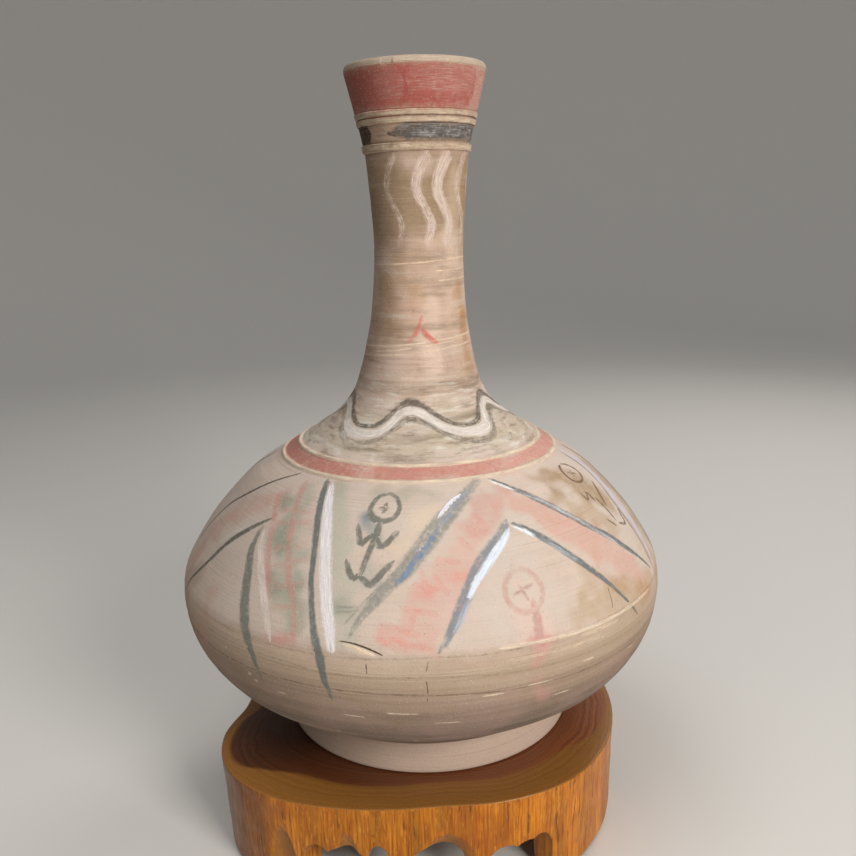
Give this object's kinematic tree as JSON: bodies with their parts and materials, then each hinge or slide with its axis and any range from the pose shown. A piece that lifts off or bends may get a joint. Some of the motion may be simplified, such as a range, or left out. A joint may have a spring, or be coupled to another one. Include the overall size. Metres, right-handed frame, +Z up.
{
  "type": "painted pottery bottle",
  "caption": "Tall-necked unglazed earthenware bottle painted with bands, slanting stripes and small figures, resting on a carved hardwood stand with a scalloped apron.",
  "frame": {"origin": "on the surface the stand stands on, under the axis of the bottle", "axes": "+Z up along the bottle's axis, -Y towards the front with the fullest painting"},
  "size_m": [0.2704, 0.2704, 0.4158],
  "materials": {
    "painted_earthenware": "matt unglazed fired clay with worn red, black and white pigment",
    "lacquered_hardwood": "clear gloss lacquer over orange-brown hardwood"
  },
  "bodies": {
    "root": {"bottle": "painted_earthenware", "stand": "lacquered_hardwood"}
  },
  "joints": []
}
